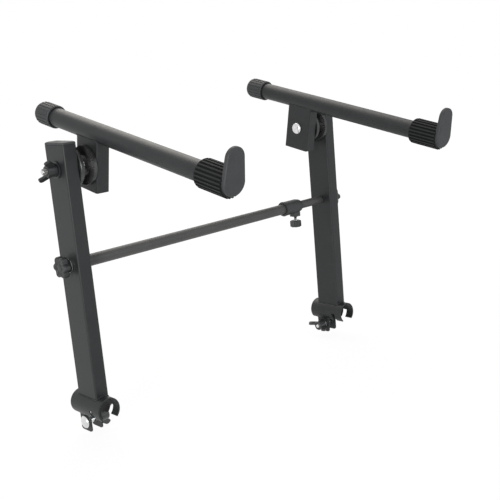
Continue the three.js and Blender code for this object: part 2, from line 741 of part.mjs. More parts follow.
function addCrossbar() {
  const crossbar = new THREE.Group();
  crossbar.position.z = crossbarHeight;
  stand.add(crossbar);
  const leftEnd = postFace + seatGap;
  const rightEnd = postSpacing - postFace - seatGap;
  const outerTube = tubeAlongX(outerTubeDiameter / 2, outerTubeBore, leftEnd, outerTubeEnd);
  const innerTube = tubeAlongX(innerTubeRadius, innerTubeBore, innerTubeReach, rightEnd);
  const leftPlug = tubeAlongX(outerTubeBore - seatGap, studHole, leftEnd, leftEnd + plugLength);
  const rightPlug = tubeAlongX(innerTubeBore - seatGap, studHole, rightEnd - plugLength, rightEnd);
  addPiece(crossbar, 'crossbar_outer_tube', outerTube, coatedSteel);
  addPiece(crossbar, 'crossbar_inner_tube', innerTube, coatedSteel);
  addPiece(crossbar, 'crossbar_left_plug', leftPlug, mouldedPlastic);
  addPiece(crossbar, 'crossbar_right_plug', rightPlug, mouldedPlastic);
  addPiece(crossbar, 'crossbar_collar', makeCollar(), mouldedPlastic);

  const knobTop = -bossDrop - thumbKnobGap;
  const knobFoot = knobTop - thumbKnobHeight;
  const screwBottom = knobFoot + thumbKnobHeight * 0.3 + seatGap;
  const screwTop = -innerTubeRadius - seatGap;
  const screw = rod('z', thumbStudDiameter / 2, screwBottom, screwTop);
  addPiece(crossbar, 'collar_thumb_knob', makeThumbKnob(), mouldedPlastic, [thumbscrewX, 0, knobFoot]);
  addPiece(crossbar, 'collar_thumb_stud', screw, brightSteel, [thumbscrewX, 0, 0]);
}

addSideFrame({ name: 'left', out: -1, centre: 0 });
addSideFrame({ name: 'right', out: 1, centre: postSpacing });
addCrossbar();

export default stand;
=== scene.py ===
# Clamp-on second tier for a keyboard stand, dressed over its CAD frame.
# Metres in the scene, millimetres in the dictionaries. +X right, -Y to the player, +Z up.
import json
import math

import bmesh
import bpy
from mathutils import Matrix, Vector


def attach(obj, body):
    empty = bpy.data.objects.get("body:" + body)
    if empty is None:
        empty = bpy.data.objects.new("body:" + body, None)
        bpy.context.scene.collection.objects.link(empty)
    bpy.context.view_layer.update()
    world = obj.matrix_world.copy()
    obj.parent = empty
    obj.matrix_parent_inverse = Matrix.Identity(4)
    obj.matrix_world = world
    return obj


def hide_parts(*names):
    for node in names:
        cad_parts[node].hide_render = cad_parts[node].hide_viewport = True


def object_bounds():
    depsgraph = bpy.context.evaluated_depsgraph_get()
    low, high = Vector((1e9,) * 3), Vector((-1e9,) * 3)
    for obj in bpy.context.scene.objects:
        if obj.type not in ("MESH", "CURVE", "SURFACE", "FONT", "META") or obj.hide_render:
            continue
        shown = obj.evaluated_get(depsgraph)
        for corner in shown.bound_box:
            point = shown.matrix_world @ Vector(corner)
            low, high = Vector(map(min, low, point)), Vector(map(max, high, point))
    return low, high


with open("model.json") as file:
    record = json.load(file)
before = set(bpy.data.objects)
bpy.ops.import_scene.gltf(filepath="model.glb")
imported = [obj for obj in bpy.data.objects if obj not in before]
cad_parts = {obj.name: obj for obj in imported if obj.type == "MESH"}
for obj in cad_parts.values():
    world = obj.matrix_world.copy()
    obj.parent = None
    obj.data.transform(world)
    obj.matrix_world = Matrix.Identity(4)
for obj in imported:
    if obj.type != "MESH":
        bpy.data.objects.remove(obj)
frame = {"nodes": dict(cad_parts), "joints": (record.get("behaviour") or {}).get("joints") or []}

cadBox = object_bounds()
mm = 0.001

# Places from the frame, in metres.
joints = {joint["name"]: joint for joint in frame["joints"]}
postSpacing = joints["right_swivel"]["pos_m"][0]
pivotHeight = joints["left_tilt"]["pos_m"][2]
crossbarHeight = joints["left_swivel"]["pos_m"][2]
clampBoltPlace = joints["left_clamp_nut_turn"]["pos_m"]
thumbscrewX = joints["collar_screw_turn"]["pos_m"][0]

# What several pieces share, in millimetres.
clampBoltY, clampBoltZ = (v / mm for v in clampBoltPlace[1:])
saddleRadius = 17.2
seatGap = 0.3  # between two pieces of one body
pole = 0.4  # radius of the small face that closes a turned end
boltHole = 4.4  # radius, for the M8 bolts
studHole = 3.4  # radius, for the knobs' M6 studs
farSide = 40  # half the length of a cutter that goes right through
print("frame loaded:", len(frame["nodes"]), "nodes")


# Selecting and shaping. Everything is deselected before a new piece starts.
def toObjectMode():
    if bpy.context.mode != "OBJECT":
        bpy.ops.object.mode_set(mode="OBJECT")


def pickOnly(piece):
    toObjectMode()
    bpy.ops.object.select_all(action="DESELECT")
    piece.select_set(True)
    bpy.context.view_layer.objects.active = piece


def settle(piece):
    pickOnly(piece)
    bpy.ops.object.transform_apply(location=True, rotation=True, scale=True)


def begin(name, addPrimitive, place=(0, 0, 0), turn=(0, 0, 0), stretch=(1, 1, 1), **options):
    toObjectMode()
    bpy.ops.object.select_all(action="DESELECT")
    addPrimitive(location=[v * mm for v in place], rotation=[math.radians(v) for v in turn], **options)
    piece = bpy.context.object
    piece.name = name
    piece.scale = stretch
    settle(piece)
    return piece


def edit(piece):
    pickOnly(piece)
    bpy.ops.object.mode_set(mode="EDIT")
    bpy.ops.mesh.select_mode(type="VERT")
    bpy.ops.mesh.select_all(action="SELECT")


def pick(piece, kind, test):  # test(place in mm, normal or direction)
    mesh = bmesh.from_edit_mesh(piece.data)
    bpy.ops.mesh.select_mode(type=kind)
    bpy.ops.mesh.select_all(action="DESELECT")
    mesh.normal_update()
    for part in {"VERT": mesh.verts, "EDGE": mesh.edges, "FACE": mesh.faces}[kind]:
        if kind == "VERT":
            place, facing = part.co, part.normal
        elif kind == "EDGE":
            ends = part.verts
            place, facing = (ends[0].co + ends[1].co) / 2, (ends[1].co - ends[0].co).normalized()
        else:
            place, facing = part.calc_center_median(), part.normal
        if test(place / mm, facing):
            part.select_set(True)
    mesh.select_flush_mode()
    bmesh.update_edit_mesh(piece.data)


def push(x=0, y=0, z=0):
    bpy.ops.mesh.extrude_region_move(TRANSFORM_OT_translate={"value": (x * mm, y * mm, z * mm)})


def resize(x, y, z, centre=(0, 0, 0)):
    bpy.ops.transform.resize(value=(x, y, z), center_override=[v * mm for v in centre])


def faceOut(piece, merge=1e-6):
    edit(piece)
    bpy.ops.mesh.remove_doubles(threshold=merge)
    bpy.ops.mesh.normals_make_consistent(inside=False)
    toObjectMode()


def finishWith(piece, kind, **settings):
    pickOnly(piece)
    bpy.ops.object.modifier_add(type=kind)
    modifier = piece.modifiers[-1]
    for key, value in settings.items():
        setattr(modifier, key, value)
    bpy.ops.object.modifier_apply(modifier=modifier.name)


def easeEdges(piece, width, segments, angle):
    finishWith(piece, "BEVEL", width=width * mm, segments=segments, limit_method="ANGLE",
               angle_limit=math.radians(angle), use_clamp_overlap=True)


def cutAway(piece, *cutters, operation="DIFFERENCE"):
    for cutter in cutters:
        finishWith(piece, "BOOLEAN", operation=operation, solver="EXACT", object=cutter)
        bpy.data.objects.remove(cutter)


def joined(name, *parts):
    toObjectMode()
    bpy.ops.object.select_all(action="DESELECT")
    for part in parts:
        part.select_set(True)
    bpy.context.view_layer.objects.active = parts[0]
    bpy.ops.object.join()
    parts[0].name = name
    return parts[0]


# A revolved body from (radius, height) points: one ring, extruded and resized step by step.
# A profile that starts near the axis is solid, one that ends where it starts is a tube.
def turned(name, profile, sides, axis="z", place=(0, 0, 0)):
    ring = profile[0] == profile[-1]
    radius, height = profile[0]
    piece = begin(name, bpy.ops.mesh.primitive_circle_add, (0, 0, height), vertices=sides,
                  radius=radius * mm, fill_type="NOTHING" if ring else "NGON")
    edit(piece)
    for (oldRadius, oldHeight), (radius, height) in zip(profile, profile[1:]):
        push(z=height - oldHeight)
        if radius != oldRadius:
            grow = radius / oldRadius
            resize(grow, grow, 1, (0, 0, height))
    faceOut(piece)
    return laidAlong(piece, axis, place)


def laidAlong(piece, axis, place=(0, 0, 0)):
    turns = {"x": (0, 90, 0), "-x": (0, -90, 0), "y": (-90, 0, 0), "z": (0, 0, 0)}
    piece.rotation_euler = [math.radians(v) for v in turns[axis]]
    piece.location = [v * mm for v in place]
    settle(piece)
    return piece


# A solid from a flat outline in XY, drawn vertex by vertex and filled, then pushed up by each
# level's rise and resized by its share.
def drawnSolid(name, outline, levels):
    piece = begin(name, bpy.ops.mesh.primitive_plane_add, (*outline[0], 0), size=mm)
    edit(piece)
    bpy.ops.mesh.merge(type="CENTER")
    for (x, y), (nextX, nextY) in zip(outline, outline[1:]):
        step = ((nextX - x) * mm, (nextY - y) * mm, 0)
        bpy.ops.mesh.extrude_vertices_move(TRANSFORM_OT_translate={"value": step})
    bpy.ops.mesh.select_all(action="SELECT")
    bpy.ops.mesh.edge_face_add()
    bpy.ops.mesh.select_mode(type="FACE")
    for rise, grow in levels:
        push(z=rise)
        if grow != 1:
            resize(grow, grow, 1)
    faceOut(piece)
    return piece


def smoothPath(points, steps):
    path = []
    for i in range(len(points) - 1):
        a, b, c, d = (Vector(points[min(max(k, 0), len(points) - 1)]) for k in range(i - 1, i + 3))
        for step in range(steps):
            t = step / steps
            path.append(tuple(0.5 * ((2 * b) + (c - a) * t + (2 * a - 5 * b + 4 * c - d) * t * t
                                     + (3 * b - a - 3 * c + d) * t ** 3)))
    return path + [tuple(points[-1])]


def arc(radius, start, end, steps):  # points, with the angles in degrees
    angles = [math.radians(start + (end - start) * i / steps) for i in range(steps + 1)]
    return [(radius * math.cos(angle), radius * math.sin(angle)) for angle in angles]


def shareOfStep(x, y, count):  # 0 to 1 across each of count equal steps round an axis
    return (math.degrees(math.atan2(y, x)) / (360 / count)) % 1


def boxTube(name, width, depth, wall, corner, start, end):
    piece = begin(name, bpy.ops.mesh.primitive_cube_add, (0, 0, (start + end) / 2),
                  stretch=(width * mm, depth * mm, (end - start) * mm), size=1)
    edit(piece)
    pick(piece, "EDGE", lambda place, along: abs(along.z) > 0.9)
    bpy.ops.mesh.bevel(offset=corner * mm, segments=5, affect="EDGES")
    pick(piece, "FACE", lambda place, facing: abs(facing.z) > 0.9)
    bpy.ops.mesh.delete(type="FACE")
    finishWith(piece, "SOLIDIFY", thickness=wall * mm, offset=-1, use_even_offset=True)
    faceOut(piece)
    return piece


def borer(axis, radius, start, end, place=(0, 0, 0), sides=64):
    middle = {"x": ((start + end) / 2, 0, 0), "y": (0, (start + end) / 2, 0),
              "z": (0, 0, (start + end) / 2)}[axis]
    return begin("borer", bpy.ops.mesh.primitive_cylinder_add,
                 [a + b for a, b in zip(middle, place)],
                 {"x": (0, 90, 0), "y": (90, 0, 0), "z": (0, 0, 0)}[axis],
                 vertices=sides, radius=radius * mm, depth=(end - start) * mm)


# Shader maths: a wired socket that can be added, multiplied and so on.
class Wire:
    def __init__(self, tree, socket):
        self.tree = tree
        self.socket = socket

    def maths(self, operation, first, second):
        node = self.tree.nodes.new("ShaderNodeMath")
        node.operation = operation
        for place, value in enumerate((first, second)):
            if isinstance(value, Wire):
                self.tree.links.new(value.socket, node.inputs[place])
            else:
                node.inputs[place].default_value = value
        return Wire(self.tree, node.outputs[0])

    def __add__(self, other):
        return self.maths("ADD", self, other)

    def __radd__(self, other):
        return self.maths("ADD", other, self)

    def __sub__(self, other):
        return self.maths("SUBTRACT", self, other)

    def __rsub__(self, other):
        return self.maths("SUBTRACT", other, self)

    def __mul__(self, other):
        return self.maths("MULTIPLY", self, other)

    def __rmul__(self, other):
        return self.maths("MULTIPLY", other, self)


# A material on object coordinates, with a method for each kind of node that it takes.
class Finish:
    def __init__(self, name):
        self.material = bpy.data.materials.new(name)
        self.material.use_nodes = True
        self.tree = self.material.node_tree
        self.shader = self.tree.nodes["Principled BSDF"]
        self.place = self.node("ShaderNodeTexCoord", output="Object")

    def node(self, kind, settings=None, values=None, output=0):
        node = self.tree.nodes.new(kind)
        for key, value in (settings or {}).items():
            setattr(node, key, value)
        for key, value in (values or {}).items():
            self.put(node.inputs[key], value)
        return Wire(self.tree, node.outputs[output])

    def put(self, socket, value):
        if isinstance(value, Wire):
            self.tree.links.new(value.socket, socket)
        elif isinstance(value, tuple) and socket.type == "RGBA":
            socket.default_value = (*value, 1)
        else:
            socket.default_value = value

    def set(self, **values):
        for key, value in values.items():
            self.put(self.shader.inputs[key.replace("_", " ")], value)
        return self

    def noise(self, grain, detail, roughness, along=None):  # grain in mm
        return self.node("ShaderNodeTexNoise", {}, {
            "Vector": along or self.place, "Scale": 1 / (grain * mm), "Detail": detail,
            "Roughness": roughness})

    def ramp(self, fac, low, high):
        return self.node("ShaderNodeMapRange", {"clamp": True},
                         {"Value": fac, "From Min": low, "From Max": high})

    def mix(self, fac, first, second):  # 6, 7 and 2 are the Mix node's colour sockets
        return self.node("ShaderNodeMix", {"data_type": "RGBA"}, {0: fac, 6: first, 7: second}, 2)

    def stretched(self, scale):
        return self.node("ShaderNodeMapping", {}, {"Vector": self.place, "Scale": scale})

    def bump(self, height, strength, depth):  # depth in mm
        return self.node("ShaderNodeBump", {}, {"Height": height, "Strength": strength,
                                                "Distance": depth * mm})


powderCoat = {"dark": (0.012, 0.0132, 0.014), "pale": (0.018, 0.0193, 0.02), "roughness": 0.44,
              "gloss": 0.34, "cloudSize": 46, "orangePeel": 2.2, "fleckSize": 0.5, "dustSize": 9,
              "dust": (0.045, 0.047, 0.047), "fleck": (0.05, 0.052, 0.052), "bump": 0.045}
barCoat = {**powderCoat, "dark": (0.056, 0.0553, 0.0538), "pale": (0.07, 0.0692, 0.0675),
           "roughness": 0.46}


def makePowderCoat(name, settings):
    finish = Finish(name)
    cloud = finish.noise(settings["cloudSize"], 4, 0.6)
    peel = finish.noise(settings["orangePeel"], 2, 0.5)
    fleck = finish.noise(settings["fleckSize"], 2, 0.6)
    dust = finish.ramp(finish.noise(settings["dustSize"], 5, 0.65), 0.52, 0.78)
    colour = finish.mix(finish.ramp(cloud, 0.3, 0.7), settings["dark"], settings["pale"])
    colour = finish.mix(dust * 0.22, colour, settings["dust"])
    colour = finish.mix(finish.ramp(fleck, 0.62, 0.72) * 0.3, colour, settings["fleck"])
    roughness = settings["roughness"] + (cloud - 0.5) * 0.12 + dust * 0.1 + (fleck - 0.5) * 0.1
    bump = finish.bump(peel * 0.75 + fleck * 0.25, settings["bump"], 0.12)
    return finish.set(Base_Color=colour, Roughness=roughness, Normal=bump,
                      Specular_IOR_Level=settings["gloss"]).material


plastic = {"dark": (0.014, 0.015, 0.0157), "pale": (0.023, 0.0245, 0.0252), "roughness": 0.5,
           "gloss": 0.5, "cloudSize": 21, "flowSize": 7, "grain": 0.85, "bump": 0.22,
           "highlight": (0.07, 0.072, 0.074)}
rubber = {**plastic, "dark": (0.021, 0.0228, 0.024), "pale": (0.031, 0.0332, 0.0348),
          "roughness": 0.6, "grain": 0.6, "bump": 0.25}
ribRubber = {**rubber, "dark": (0.0065, 0.0072, 0.0073), "pale": (0.012, 0.013, 0.013),
             "roughness": 0.74, "bump": 0.3, "gloss": 0.36}
# Darker rubber for the grooves between the front cap's ribs: painted shade.
grooveShadeRubber = {**rubber, "dark": (0.0045, 0.0048, 0.005), "pale": (0.008, 0.0085, 0.0088),
                "roughness": 0.82, "bump": 0.4, "gloss": 0.18}


# Moulded plastic and rubber: clouds of tone, a fine grain, and a flow drawn out along Z.
def makePlastic(name, settings):
    finish = Finish(name)
    grain = finish.noise(settings["grain"], 3, 0.62)
    cloud = finish.noise(settings["cloudSize"], 3, 0.5)
    flow = finish.noise(settings["flowSize"], 2, 0.5, finish.stretched((1, 1, 3.5)))
    colour = finish.mix(finish.ramp(cloud, 0.3, 0.72), settings["dark"], settings["pale"])
    colour = finish.mix(finish.ramp(grain, 0.55, 0.8) * 0.3, colour, settings["highlight"])
    roughness = settings["roughness"] + (grain - 0.5) * 0.2 + (flow - 0.5) * 0.12
    bump = finish.bump(grain, settings["bump"], 0.1)
    return finish.set(Base_Color=colour, Roughness=roughness, Normal=bump,
                      Specular_IOR_Level=settings["gloss"]).material


# The toothed discs: dark, smeared with grease, with paler worn flecks.
wornDisc = {"dark": (0.015, 0.0155, 0.016), "smeared": (0.085, 0.086, 0.084),
            "worn": (0.07, 0.07, 0.068), "roughness": 0.4, "smearSize": 13, "grain": 1.1}


def makeWornDisc():
    finish = Finish("wornMouldedDisc")
    smear = finish.ramp(finish.noise(wornDisc["smearSize"], 4, 0.62), 0.46, 0.72)
    grain = finish.noise(wornDisc["grain"], 3, 0.6)
    colour = finish.mix(smear * 0.55, wornDisc["dark"], wornDisc["smeared"])
    colour = finish.mix(finish.ramp(grain, 0.58, 0.76) * 0.25, colour, wornDisc["worn"])
    roughness = wornDisc["roughness"] + (grain - 0.5) * 0.2 - smear * 0.12
    bump = finish.bump(grain * 0.6 + smear * 0.4, 0.3, 0.12)
    return finish.set(Base_Color=colour, Roughness=roughness, Normal=bump).material


blackCoat = {"dark": (0.02, 0.021, 0.022), "bright": (0.1, 0.1, 0.098), "roughness": 0.38,
             "rubSize": 5.5, "grain": 1.3}
# A paler copy for the clamp wing nuts: the paler tone is painted highlight, the rubbed patches are
# wear.
rubbedAndLitCoat = {**blackCoat, "dark": (0.04, 0.041, 0.0415), "bright": (0.2, 0.2, 0.195),
              "roughness": 0.34}


# Black-coated castings, rubbed towards bare metal in patches.
def makeHardware(name, settings):
    finish = Finish(name)
    rub = finish.ramp(finish.noise(settings["rubSize"], 5, 0.68), 0.56, 0.74)
    grain = finish.noise(settings["grain"], 3, 0.6)
    colour = finish.mix(rub * 0.35, settings["dark"], settings["bright"])
    roughness = settings["roughness"] + (grain - 0.5) * 0.22 + rub * 0.08
    bump = finish.bump(grain, 0.28, 0.12)
    return finish.set(Base_Color=colour, Roughness=roughness, Metallic=rub * 0.25 + 0.1,
                      Normal=bump).material


zinc = {"bright": (0.80, 0.80, 0.79), "dull": (0.60, 0.61, 0.61), "roughness": 0.2,
        "spangleSize": 3.2, "scuffSize": 1.6}
# The thread's steel: the zinc made darker, as painted shade in the thread's grooves.
shadedThread = {**zinc, "bright": (0.30, 0.30, 0.29), "dull": (0.16, 0.16, 0.155), "roughness": 0.42}


# Zinc plating: a spangle of tones, scuffed across X.
def makeBrightSteel(name, settings):
    finish = Finish(name)
    spangle = finish.noise(settings["spangleSize"], 3, 0.6)
    scuff = finish.noise(settings["scuffSize"], 4, 0.7, finish.stretched((6, 1, 1)))
    scuff = finish.ramp(scuff, 0.55, 0.75)
    colour = finish.mix(finish.ramp(spangle, 0.35, 0.7), settings["dull"], settings["bright"])
    roughness = settings["roughness"] + (spangle - 0.5) * 0.14 + scuff * 0.14
    bump = finish.bump(scuff * 0.5 + spangle * 0.5, 0.1, 0.05)
    return finish.set(Base_Color=colour, Roughness=roughness, Metallic=1.0, Normal=bump).material


coat = makePowderCoat("satinBlackPowderCoat", powderCoat)
paleCoat = makePowderCoat("satinCharcoalBarCoat", barCoat)
matPlastic = makePlastic("mouldedBlackPlastic", plastic)
capRubber = makePlastic("capRubberSmooth", rubber)
ribbedRubber = makePlastic("capRubberRibs", ribRubber)
grooveShadeMaterial = makePlastic("capRubberGroovePaintedShade", grooveShadeRubber)
discPlastic = makeWornDisc()
blackMetal = makeHardware("blackCoatedHardware", blackCoat)
rubbedAndLitMetal = makeHardware("rubbedBlackHardwarePaintedHighlight", rubbedAndLitCoat)
brightMetal = makeBrightSteel("brightZincSteel", zinc)
threadShadeMetal = makeBrightSteel("threadSteelPaintedShade", shadedThread)
print("materials made:", len(bpy.data.materials))


# Placing. A side piece is modelled once with +X outward, then copied to both sides.
mirrors = {"left": Matrix.Scale(-1, 4, (1, 0, 0)),
           "right": Matrix.Translation((postSpacing, 0, 0))}
armPitch = 12.5  # degrees, front end down
smoothAngle = 38
atPivot = Matrix.Translation((0, 0, pivotHeight))
atCrossbar = Matrix.Translation((0, 0, crossbarHeight))
onArm = atPivot @ Matrix.Rotation(math.radians(armPitch), 4, "X")


def dress(piece, material, slotName, body, *nodes):
    if not piece.data.materials:
        piece.data.materials.append(material)
    pickOnly(piece)
    bpy.ops.object.shade_smooth_by_angle(angle=math.radians(smoothAngle))
    finishWith(piece, "WEIGHTED_NORMAL", mode="FACE_AREA", keep_sharp=True)  # flat faces stay flat
    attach(piece, body)
    if nodes:
        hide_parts(*nodes)
    return piece


def onBothSides(master, name, material, slotName, body, node=None, at=None):
    for side, mirror in mirrors.items():
        piece = master.copy()
        piece.data = master.data.copy()
        piece.name = side + name
        bpy.context.scene.collection.objects.link(piece)
        place = at[side] if isinstance(at, dict) else (at or Matrix())
        piece.matrix_world = mirror @ place
        settle(piece)
        if side == "left":
            faceOut(piece, 1e-7)
        dress(piece, material, slotName, f"{side}_{body}", *([f"{side}_{node}"] if node else []))
    bpy.data.objects.remove(master)


post = {"width": 20, "depth": 44, "wall": 1.6, "corner": 2.5, "top": 352.5, "ease": 0.18}


def makePost():
    tube = boxTube("post", post["width"], post["depth"], post["wall"], post["corner"], 0, post["top"])
    cutAway(tube, borer("y", saddleRadius + seatGap, -farSide, farSide, sides=128),
            borer("x", boltHole, -farSide, farSide, (0, 0, pivotHeight / mm)),
            borer("x", studHole, -farSide, farSide, (0, 0, crossbarHeight / mm)))
    easeEdges(tube, post["ease"], 1, 50)
    return tube


# A weld bead round the end of a rectangular tube, where it meets a round tube that runs along Y.
weld = {"bead": 0.95, "ripple": 0.16, "pitch": 1.5, "waver": 0.12, "waverStep": 1.7}


def makeWeld(name, width, depth, corner, radius, height, side):
    outline = []
    for cx, cy, start in ((1, 1, 0), (-1, 1, 90), (-1, -1, 180), (1, -1, 270)):
        centre = (cx * (width / 2 - corner), cy * (depth / 2 - corner))
        outline += [(centre[0] + x, centre[1] + y) for x, y in arc(corner, start, start + 90, 5)]
    walked = []
    for (x, y), (nextX, nextY) in zip(outline, outline[1:] + outline[:1]):
        steps = max(1, round(math.dist((x, y), (nextX, nextY)) / (weld["pitch"] / 2)))
        for i in range(steps):
            walked.append((x + (nextX - x) * i / steps, y + (nextY - y) * i / steps))
    curve = bpy.data.curves.new(name, "CURVE")
    curve.dimensions = "3D"
    curve.bevel_depth = weld["bead"] * mm
    curve.bevel_resolution = 3
    spline = curve.splines.new("POLY")
    spline.points.add(len(walked) - 1)
    spline.use_cyclic_u = True
    for i, (point, (x, y)) in enumerate(zip(spline.points, walked)):
        z = height + side * math.sqrt(radius ** 2 - x ** 2)
        point.co = (x * mm, y * mm, z * mm, 1)
        ripple = weld["ripple"] * (1 if i % 2 else -1)
        point.radius = 1 + ripple + weld["waver"] * math.sin(i * weld["waverStep"])
    piece = bpy.data.objects.new(name, curve)
    bpy.context.scene.collection.objects.link(piece)
    pickOnly(piece)
    bpy.ops.object.convert(target="MESH")
    faceOut(bpy.context.object)
    return bpy.context.object


postCap = {"rim": 1.6, "dome": ((0.3, 0.75), (0.8, 1.3), (1.8, 1.85), (3.4, 2.2), (5.6, 2.4)),
           "plugDepth": 12, "plugInset": 1.9, "ease": 0.15}


def makePostCap():
    start = post["top"] + seatGap
    cap = begin("postCap", bpy.ops.mesh.primitive_cube_add, (0, 0, start + postCap["rim"] / 2),
                stretch=(post["width"] * mm, post["depth"] * mm, postCap["rim"] * mm), size=1)
    edit(cap)
    pick(cap, "EDGE", lambda place, along: abs(along.z) > 0.9)
    bpy.ops.mesh.bevel(offset=post["corner"] * mm, segments=6, affect="EDGES")
    pick(cap, "FACE", lambda place, facing: facing.z > 0.9)
    wide, deep, high = post["width"], post["depth"], 0
    for inward, rise in postCap["dome"]:
        push(z=rise - high)
        newWide, newDeep = post["width"] - 2 * inward, post["depth"] - 2 * inward
        resize(newWide / wide, newDeep / deep, 1)
        wide, deep, high = newWide, newDeep, rise
    pick(cap, "FACE", lambda place, facing: facing.z < -0.9)
    bpy.ops.mesh.inset(thickness=postCap["plugInset"] * mm, depth=0)
    push(z=-postCap["plugDepth"])
    faceOut(cap)
    easeEdges(cap, postCap["ease"], 2, 60)
    return cap


onBothSides(makePost(), "Post", coat, "coated_steel", "frame", "post")
onBothSides(makePostCap(), "PostCap", matPlastic, "moulded_plastic", "frame", "post_cap")
onBothSides(makeWeld("postWeld", post["width"], post["depth"], post["corner"], saddleRadius, 0, 1),
            "PostWeld", coat, "coated_steel", "frame")
print("posts, caps and welds made")

# The mouths are in degrees, and the slit and the ears lie between two places along Y.
clamp = {"wall": 2, "front": -34, "rear": 33, "mouth": 84, "slit": (-20.5, -12), "ear": (0.5, 25),
         "earMouth": 66, "earReach": 37.5, "earCorner": 4, "fold": 1.6, "ease": 0.3}


# A tube cut open along its underside, with a slit, and two ears drawn down from the mouth.
def makeClamp():
    front, rear = clamp["front"], clamp["rear"]
    bend = -saddleRadius * math.cos(math.radians(clamp["earMouth"] / 2))
    tube = begin("clampTube", bpy.ops.mesh.primitive_cylinder_add, (0, (front + rear) / 2, 0),
                 (90, 0, 0), vertices=120, radius=saddleRadius * mm, depth=(rear - front) * mm,
                 end_fill_type="NOTHING")
    edit(tube)
    for y in (*clamp["slit"], *clamp["ear"]):
        bpy.ops.mesh.select_all(action="SELECT")
        bpy.ops.mesh.bisect(plane_co=(0, y * mm, 0), plane_no=(0, 1, 0))

    def fromBottom(place):
        return abs(math.degrees(math.atan2(place.x, -place.z)))

    def inEars(place):
        return clamp["ear"][0] < place.y < clamp["ear"][1]

    def cutOut(place, facing):
        slit = clamp["slit"][0] < place.y < clamp["slit"][1] and place.z < 0
        mouth = clamp["earMouth"] if inEars(place) else clamp["mouth"]
        return slit or fromBottom(place) < mouth / 2

    pick(tube, "FACE", cutOut)
    bpy.ops.mesh.delete(type="FACE")
    pick(tube, "EDGE", lambda place, along: inEars(place) and abs(along.y) > 0.9
         and fromBottom(place) < clamp["earMouth"] / 2 + 1)
    push(z=-clamp["earReach"] - bend)
    pick(tube, "EDGE", lambda place, along: inEars(place) and abs(along.y) > 0.9
         and abs(place.z - bend) < 0.2)
    bpy.ops.mesh.bevel(offset=clamp["fold"] * mm, segments=5, affect="EDGES")
    pick(tube, "VERT", lambda place, facing: place.z < -clamp["earReach"] + 0.1)
    bpy.ops.mesh.bevel(offset=clamp["earCorner"] * mm, segments=6, affect="VERTICES")
    faceOut(tube)
    finishWith(tube, "SOLIDIFY", thickness=clamp["wall"] * mm, offset=-1, use_even_offset=True)
    faceOut(tube)
    cutAway(tube, borer("x", boltHole, -farSide / 2, farSide / 2, (0, clampBoltY, clampBoltZ)))
    easeEdges(tube, clamp["ease"], 2, 50)
    return tube


onBothSides(makeClamp(), "ClampTube", coat, "coated_steel", "frame", "clamp_tube")

bolt = {"radius": 4, "head": 9, "headHeight": 4.6, "rim": 0.8, "ease": 0.15, "pitch": 1.25,
        "thread": 0.32, "chamfer": 1.2}


# Rings of thread on a profile: a root and a crest for each turn.
def threadRings(radius, start, turns, pitch, depth):
    rings = []
    for i in range(turns):
        height = start + i * pitch
        rings += [(radius - depth, height + pitch * 0.5), (radius, height + pitch)]
    return rings


# A carriage bolt: domed head, plain shank, thread up to the tip. Along the given axis.
def makeBolt(seat, threadStart, tip, axis):
    radius, head, ease = bolt["radius"], bolt["head"], bolt["ease"]
    dome = bolt["headHeight"] - bolt["rim"]
    profile = [(head * math.sin(math.radians(a)),
                seat - bolt["rim"] - dome * math.cos(math.radians(a)))
               for a in (2, 12, 24, 36, 48, 60, 71, 80, 86)]
    profile += [(head, seat - bolt["rim"]), (head, seat - ease), (head - ease, seat), (radius, seat),
                (radius, threadStart)]
    turns = int((tip - bolt["chamfer"] - threadStart) / bolt["pitch"])
    profile += threadRings(radius, threadStart, turns, bolt["pitch"], bolt["thread"])
    profile += [(radius - bolt["chamfer"], tip), (pole, tip)]
    piece = turned("bolt", profile, 40, axis)
    piece.data.materials.append(brightMetal)
    piece.data.materials.append(threadShadeMetal)
    # The threaded faces take the darker steel: painted shade in the thread.
    edit(piece)
    pick(piece, "FACE", lambda place, facing: abs(facing.x) < 0.99
         and place.x * (-1 if axis == "-x" else 1) > threadStart)
    piece.active_material_index = 1
    bpy.ops.object.material_slot_assign()
    toObjectMode()
    return piece


washer = {"thickness": 1.6, "ease": 0.3}


def makeWasher(radius, hole, start):
    ease = washer["ease"]
    end = start + washer["thickness"]
    profile = [(hole, start), (radius - ease, start), (radius - ease * 0.3, start + ease * 0.3),
               (radius, start + ease), (radius, end - ease), (radius - ease * 0.3, end - ease * 0.3),
               (radius - ease, end), (hole, end), (hole, start)]
    return turned("washer", profile, 64, "x")


wingNut = {"hub": 8.3, "hubHeight": 13, "half": 18.2, "height": 19.5, "thickness": 3.4, "ease": 0.85}


# A wing nut seated at x = 0 that rises along +X, with its wings along Y.
def makeWingNut():
    hub, half, high = wingNut["hub"], wingNut["half"], wingNut["height"]
    top = wingNut["hubHeight"]
    core = turned("wingNut", [
        (boltHole, 0), (hub - 0.3, 0), (hub, 0.3), (hub, 1.5), (hub - 0.15, 2.1),
        (hub - 0.9, top - 0.7), (hub - 1.2, top - 0.15), (hub - 1.7, top), (boltHole + 0.7, top),
        (boltHole, top - 0.7), (boltHole, 0)], 56, "x")
    outline = smoothPath([(hub * 0.6, 1.4), (hub + 1.5, 2.4), (half - 3.6, 8), (half, 14),
                          (half - 1.5, high - 1.5), (half - 5.2, high - 0.3),
                          (hub + 0.6, top + 0.6), (hub * 0.6, top - 1.4)], 6)
    middle = wingNut["thickness"] * mm / 2
    stand = Matrix(((0, 1, 0, 0), (1, 0, 0, 0), (0, 0, -1, middle), (0, 0, 0, 1)))
    wings = []
    for turn in (0, 180):
        wing = drawnSolid("wing", outline, ((wingNut["thickness"], 1),))
        wing.matrix_world = Matrix.Rotation(math.radians(turn), 4, "X") @ stand
        settle(wing)
        faceOut(wing)
        easeEdges(wing, wingNut["ease"], 3, 40)
        wings.append(wing)
    return joined("wingNut", core, *wings)


def nutMatrix(place, turn, back=False):  # back turns the nut to face -X
    flip = Matrix.Rotation(math.pi, 4, "Y") if back else Matrix()
    angle = math.radians(-turn if back else turn)
    return Matrix.Translation([v * mm for v in place]) @ flip @ Matrix.Rotation(angle, 4, "X")


